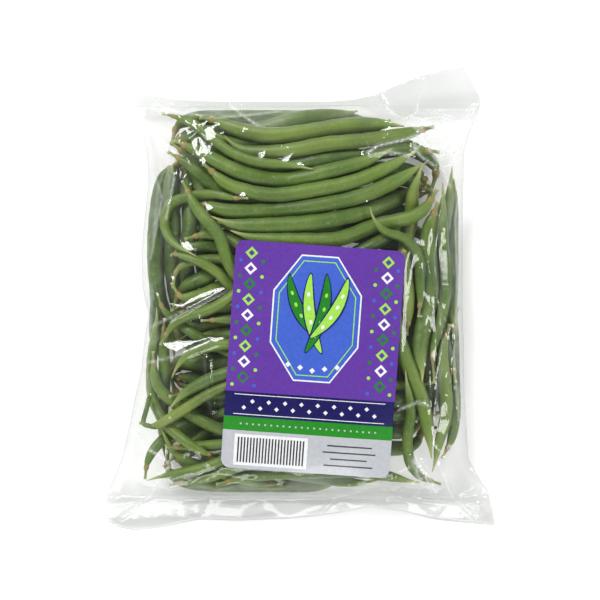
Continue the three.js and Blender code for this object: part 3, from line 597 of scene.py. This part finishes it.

# Clear film: mostly let through, a mirror at a slant, greyer where it is slack and faintly milky, with a
# white line painted along each crease, partly the film's own whitening and partly a painted highlight
clear_film = bpy.data.materials.new("clear_film")
clear_film.use_nodes = True
tree = clear_film.node_tree
link = tree.links.new
tree.nodes.remove(tree.nodes["Principled BSDF"])
through = tree.nodes.new("ShaderNodeBsdfTransparent")
gloss = tree.nodes.new("ShaderNodeBsdfGlossy")
gloss.inputs["Roughness"].default_value = 0.09
gloss.inputs["Color"].default_value = (1, 1, 1, 1)
milk_and_painted_highlight = tree.nodes.new("ShaderNodeBsdfDiffuse")
milk_and_painted_highlight.inputs["Color"].default_value = (0.9, 0.92, 0.9, 1)
film_where = tree.nodes.new("ShaderNodeTexCoord")
crinkle = tree.nodes.new("ShaderNodeTexNoise")
crinkle.inputs["Scale"].default_value = 75
crinkle.inputs["Detail"].default_value = 3
crinkle.inputs["Distortion"].default_value = 0.6
link(film_where.outputs["Object"], crinkle.inputs["Vector"])
fine_bump = tree.nodes.new("ShaderNodeBump")
fine_bump.inputs["Strength"].default_value = 0.15
fine_bump.inputs["Distance"].default_value = 0.0015
link(crinkle.outputs["Fac"], fine_bump.inputs["Height"])
link(fine_bump.outputs[0], gloss.inputs["Normal"])
slant = tree.nodes.new("ShaderNodeLayerWeight")
slant.inputs["Blend"].default_value = 0.5
link(fine_bump.outputs[0], slant.inputs["Normal"])
mirror = tree.nodes.new("ShaderNodeMapRange")
mirror.inputs["From Min"].default_value = 0.0
mirror.inputs["To Min"].default_value = 0.045
mirror.inputs["To Max"].default_value = 0.45
steep = tree.nodes.new("ShaderNodeMath")
steep.operation = "POWER"
steep.inputs[1].default_value = 3
link(slant.outputs["Facing"], steep.inputs[0])
link(steep.outputs[0], mirror.inputs["Value"])
see_through = ramp(tree, [
    (0.0, (0.985, 0.987, 0.985)), (0.6, (0.955, 0.957, 0.955)), (0.85, (0.88, 0.885, 0.88)),
    (1.0, (0.6, 0.61, 0.6))])
link(slant.outputs["Facing"], see_through.inputs[0])
slack_grey = (0.885, 0.888, 0.885)
slack_share = read_point(tree, "slack").outputs["Fac"]
greyed = mixed(tree, slack_share, see_through.outputs[0], slack_grey, "MULTIPLY")
link(greyed, through.inputs["Color"])
# The white diffuse share rises along the creases: a painted highlight, partly the film's own whitening at a
# fold
milk_and_highlight_share = tree.nodes.new("ShaderNodeMapRange")
milk_and_highlight_share.inputs["To Min"].default_value = 0.004
milk_and_highlight_share.inputs["To Max"].default_value = 0.75
link(read_point(tree, "crease_white_and_painted_highlight").outputs["Fac"], milk_and_highlight_share.inputs["Value"])
hazed_and_highlighted = tree.nodes.new("ShaderNodeMixShader")
link(milk_and_highlight_share.outputs[0], hazed_and_highlighted.inputs[0])
link(through.outputs[0], hazed_and_highlighted.inputs[1])
link(milk_and_painted_highlight.outputs[0], hazed_and_highlighted.inputs[2])
sheen = tree.nodes.new("ShaderNodeMixShader")
link(mirror.outputs[0], sheen.inputs[0])
link(hazed_and_highlighted.outputs[0], sheen.inputs[1])
link(gloss.outputs[0], sheen.inputs[2])
link(sheen.outputs[0], tree.nodes["Material Output"].inputs["Surface"])
film.data.materials.clear()
film.data.materials.append(clear_film)
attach(film, "root")
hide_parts("film_bag")

# Label.
# A sheet of coated paper with round corners, stuck on the front of the film a little askew and
# printed in flat colours with plain ornaments: bands, a framed panel of pods, diamonds and bars.
inks = {
    "paper_white": (0.8, 0.81, 0.82), "purple": (0.11, 0.035, 0.32), "blue": (0.05, 0.115, 0.55),
    "navy": (0.006, 0.005, 0.09), "green": (0.014, 0.24, 0.012), "grey": (0.47, 0.49, 0.52),
    "lime": (0.33, 0.68, 0.08), "leaf": (0.012, 0.2, 0.016), "dark_grey": (0.03, 0.03, 0.035)}
ink_names = list(inks)
printed = {}
for ink, colour in inks.items():
    material = bpy.data.materials.new(f"ink_{ink}")
    material.use_nodes = True
    tree = material.node_tree
    face = tree.nodes["Principled BSDF"]
    face.inputs["Specular IOR Level"].default_value = 0.5
    face.inputs["Coat Weight"].default_value = 0.35
    face.inputs["Coat Roughness"].default_value = 0.12
    place = tree.nodes.new("ShaderNodeTexCoord")
    grain = tree.nodes.new("ShaderNodeTexNoise")
    grain.inputs["Scale"].default_value = 600
    grain.inputs["Detail"].default_value = 3
    tree.links.new(place.outputs["Object"], grain.inputs["Vector"])
    dark, light = tuple(0.93 * c for c in colour), tuple(min(1, 1.06 * c) for c in colour)
    tint = ramp(tree, [(0.3, dark), (0.7, light)])
    tree.links.new(grain.outputs["Fac"], tint.inputs[0])
    tree.links.new(tint.outputs[0], face.inputs["Base Color"])
    sheen_range = tree.nodes.new("ShaderNodeMapRange")
    sheen_range.inputs["To Min"].default_value = 0.26
    sheen_range.inputs["To Max"].default_value = 0.4
    tree.links.new(grain.outputs["Fac"], sheen_range.inputs["Value"])
    tree.links.new(sheen_range.outputs[0], face.inputs["Roughness"])
    printed[ink] = material


def cut_in_squares(piece, step, extra_v=()):
    """Score lines across a flat shape, so that it can follow the film."""
    sheet = bmesh.new()
    sheet.from_mesh(piece.data)
    for k, normal in enumerate([(1, 0, 0), (0, 1, 0)]):
        low = min(vertex.co[k] for vertex in sheet.verts)
        high = max(vertex.co[k] for vertex in sheet.verts)
        lines = [*np.arange(math.ceil(low / step) * step, high, step), *(extra_v if k else ())]
        for line in lines:
            whole = sheet.verts[:] + sheet.edges[:] + sheet.faces[:]
            spot = line * Vector(normal)
            bmesh.ops.bisect_plane(sheet, geom=whole, dist=1e-4, plane_co=spot, plane_no=normal)
    sheet.to_mesh(piece.data)
    sheet.free()


band_edges = {"purple": -17.9, "navy": -30.2, "green": -37.0}
bpy.ops.object.select_all(action="DESELECT")
bpy.ops.mesh.primitive_plane_add(size=2)
label = bpy.context.object
label.name = "label_sheet"
label_corner = 4.5
label.scale = (label_width / 2, label_length / 2, 1)
bpy.ops.object.transform_apply(location=False, rotation=False, scale=True)
bpy.ops.object.mode_set(mode="EDIT")
bpy.ops.mesh.select_all(action="SELECT")
bpy.ops.mesh.bevel(offset=label_corner, segments=8, affect="VERTICES")
bpy.ops.object.mode_set(mode="OBJECT")
cut_in_squares(label, 2, extra_v=band_edges.values())
for ink in ink_names:
    label.data.materials.append(printed[ink])
for polygon in label.data.polygons:
    height = polygon.center.y
    band = next((ink for ink, edge in band_edges.items() if height > edge), "grey")
    polygon.material_index = ink_names.index(band)

prints = [label]
ink_layer = 0.035


def stamp(ink, place, size, sides=24, turn=0.0, layer=1, ring=0.0):
    """A flat ornament: a disc, diamond, bar or ring in one ink."""
    bpy.ops.object.select_all(action="DESELECT")
    radius = math.sqrt(2) if sides == 4 else 1
    bpy.ops.mesh.primitive_circle_add(
        vertices=sides, radius=radius, fill_type="NGON", rotation=(0, 0, math.pi / sides))
    mark = bpy.context.object
    bpy.ops.object.transform_apply(location=False, rotation=True, scale=False)
    mark.scale = (size[0] / 2, size[1] / 2, 1)
    mark.rotation_euler = (0, 0, turn)
    mark.location = (*place, ink_layer * layer)
    bpy.ops.object.transform_apply(location=True, rotation=True, scale=True)
    if ring:
        bpy.ops.object.mode_set(mode="EDIT")
        bpy.ops.mesh.select_all(action="SELECT")
        bpy.ops.mesh.inset(thickness=ring)
        bpy.ops.mesh.delete(type="FACE")
        bpy.ops.object.mode_set(mode="OBJECT")
    if max(size) > 6:
        cut_in_squares(mark, 2.5)
    mark.data.materials.clear()
    for name in ink_names:
        mark.data.materials.append(printed[name])
    for polygon in mark.data.polygons:
        polygon.material_index = ink_names.index(ink)
    prints.append(mark)
    return mark


# The framed blue panel, with pods fanned on it
stamp("paper_white", (0, 20), (47, 67), sides=8, layer=1)
stamp("blue", (0, 20), (45.4, 65.4), sides=8, layer=2)
stamp("lime", (0, 20), (41, 61), sides=8, layer=3, ring=0.5)
pod_marks = [((-9, 24), 0.5, 34), ((-3.2, 22), 0.2, 39), ((3.2, 22), -0.2, 39), ((9, 24), -0.5, 34)]
pod_bow, pod_outline = 3.2, 1.4


def fanned(place, turn, u, v):
    """A spot on a printed pod, turned to the pod's lean and moved to its place."""
    return (place[0] + u * math.cos(turn) - v * math.sin(turn),
            place[1] + u * math.sin(turn) + v * math.cos(turn))


for k, (place, turn, length) in enumerate(pod_marks):
    bow = pod_bow if turn > 0 else -pod_bow
    body_ink, seed_ink = ("lime", "paper_white") if k % 2 else ("leaf", "lime")
    for ink, layer, grow in (("navy", 4 + 3 * k, pod_outline), (body_ink, 5 + 3 * k, 0)):
        pod_mark = stamp(ink, (0, 0), (5.2 + grow, length + grow), sides=32, layer=layer)
        for vertex in pod_mark.data.vertices:
            s = vertex.co.y / (length / 2)
            u = vertex.co.x * (1 - 0.25 * s * s) + bow * s * s
            vertex.co.x, vertex.co.y = fanned(place, turn, u, vertex.co.y)
    for s in (-0.55, -0.2, 0.15, 0.5):
        seed_spot = fanned(place, turn, bow * s * s, s * length / 2)
        stamp(seed_ink, seed_spot, (1.5, 2.2), sides=12, turn=turn, layer=6 + 3 * k)
diamond = math.pi / 4
for k in range(5):
    v = -3 - 1.2 * (2 - abs(k - 2))
    stamp("paper_white", (-12 + 6 * k, v), (2, 2), sides=4, turn=diamond, layer=4)

# Ornaments down both sides of the purple ground
for side in (-1, 1):
    for k in range(9):
        v = 50 - 7.6 * k
        ground_ink = ("lime", "paper_white", "leaf")[k % 3]
        stamp(ground_ink, (side * 33.5, v), (4.4, 4.4), sides=4, turn=diamond)
        stamp("purple", (side * 33.5, v), (2.2, 2.2), sides=4, turn=diamond, layer=2)
        stamp(("leaf", "lime", "blue")[k % 3], (side * 27.7, v - 3.8), (1.8, 1.8), sides=16)
        stamp(("blue", "leaf", "lime")[k % 3], (side * 38.6, v - 3.8), (1.8, 1.8), sides=16)

# The navy band, the green stripe and the grey panel
for k in range(17):
    v = -24 + (1.6 if k % 2 else -1.6)
    stamp("paper_white", (-32 + 4 * k, v), (1.6, 1.6), sides=4, turn=diamond)
for v in (-19.2, -28.9):
    stamp("paper_white", (0, v), (74, 0.35), sides=4)
for k in range(23):
    stamp("grey", (-33 + 3 * k, -33.6), (1.0, 1.0), sides=12)
stamp("paper_white", (-17.5, -46.5), (36, 15.5), sides=4, layer=1)
for k in range(22):
    stamp("dark_grey", (-33.5 + 1.52 * k, -46.5), (0.76, 12.5), sides=4, layer=2)
for k, width in enumerate((22, 26, 18, 24)):
    stamp("dark_grey", (21, -41.5 - 3.3 * k), (width, 0.7), sides=4)

bpy.ops.object.select_all(action="DESELECT")
for piece in prints:
    piece.select_set(True)
bpy.context.view_layer.objects.active = label
bpy.ops.object.join()
paper = np.array([vertex.co for vertex in label.data.vertices])
print_x = label_middle[0] + paper[:, 0] * math.cos(label_turn) - paper[:, 1] * math.sin(label_turn)
print_y = label_middle[1] + paper[:, 0] * math.sin(label_turn) + paper[:, 1] * math.cos(label_turn)
under_paper, paper_thick = 0.15, 0.2
print_z = read_grid(drape, print_x, print_y) + under_paper + paper_thick + paper[:, 2]
printed_points = np.stack([print_x, print_y, print_z], axis=1) * millimetre
label.data.vertices.foreach_set("co", printed_points.ravel())
label.data.update()
bpy.ops.object.shade_smooth()
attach(label, "root")
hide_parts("label")

# Studio.
# A white table lit faintly from below, in a white room, with three soft lamps round the bag and the
# camera straight over it.
bpy.ops.object.select_all(action="DESELECT")
bpy.ops.mesh.primitive_plane_add(size=2.4, location=(0, 0, -0.0003))
table = bpy.context.object
table.name = "white_table"
white = bpy.data.materials.new("white_table")
white.use_nodes = True
paint = white.node_tree.nodes["Principled BSDF"]
paint.inputs["Base Color"].default_value = (0.97, 0.97, 0.97, 1)
paint.inputs["Roughness"].default_value = 0.7
paint.inputs["Emission Color"].default_value = (1, 1, 1, 1)
paint.inputs["Emission Strength"].default_value = 0.2
table.data.materials.append(white)

# The room is bright all round and dark overhead, where the camera hangs
room = bpy.data.worlds.new("white_room")
room.use_nodes = True
tree = room.node_tree
direction = tree.nodes.new("ShaderNodeTexCoord")
upward = tree.nodes.new("ShaderNodeSeparateXYZ")
tree.links.new(direction.outputs["Generated"], upward.inputs[0])
walls = ramp(tree, [
    (0.0, (0.93, 0.93, 0.93)), (0.17, (0.9, 0.9, 0.9)), (0.3, (0.66, 0.66, 0.66)),
    (0.55, (0.58, 0.58, 0.58)), (0.8, (0.3, 0.3, 0.3)), (1.0, (0.09, 0.09, 0.09))])
tree.links.new(upward.outputs["Z"], walls.inputs[0])
tree.links.new(walls.outputs[0], tree.nodes["Background"].inputs["Color"])
tree.nodes["Background"].inputs["Strength"].default_value = 1.1
bpy.context.scene.world = room


def softbox(name, place, size, power):
    bpy.ops.object.light_add(type="AREA", location=place)
    lamp = bpy.context.object
    lamp.name = name
    lamp.data.shape = "RECTANGLE"
    lamp.data.size, lamp.data.size_y = size
    lamp.data.energy = power
    lamp.rotation_euler = (-Vector(place)).to_track_quat("-Z", "Y").to_euler()


softbox("left_box", (-0.47, 0.73, 0.85), (0.6, 0.3), 10.5)
softbox("right_box", (0.9, -0.1, 0.8), (0.3, 0.35), 3.4)
softbox("foot_box", (-0.05, -1.0, 0.75), (0.9, 0.35), 5)

camera_data = bpy.data.cameras.new("camera")
camera = bpy.data.objects.new("camera", camera_data)
bpy.context.collection.objects.link(camera)
sight, seen_width = 0.95, 0.3
camera.location = (0, 0, 0.962)
camera_data.sensor_width = 36
camera_data.lens = camera_data.sensor_width * sight / seen_width
camera_data.clip_start = 0.01
bpy.context.scene.camera = camera
bpy.context.scene.view_settings.view_transform = "Standard"
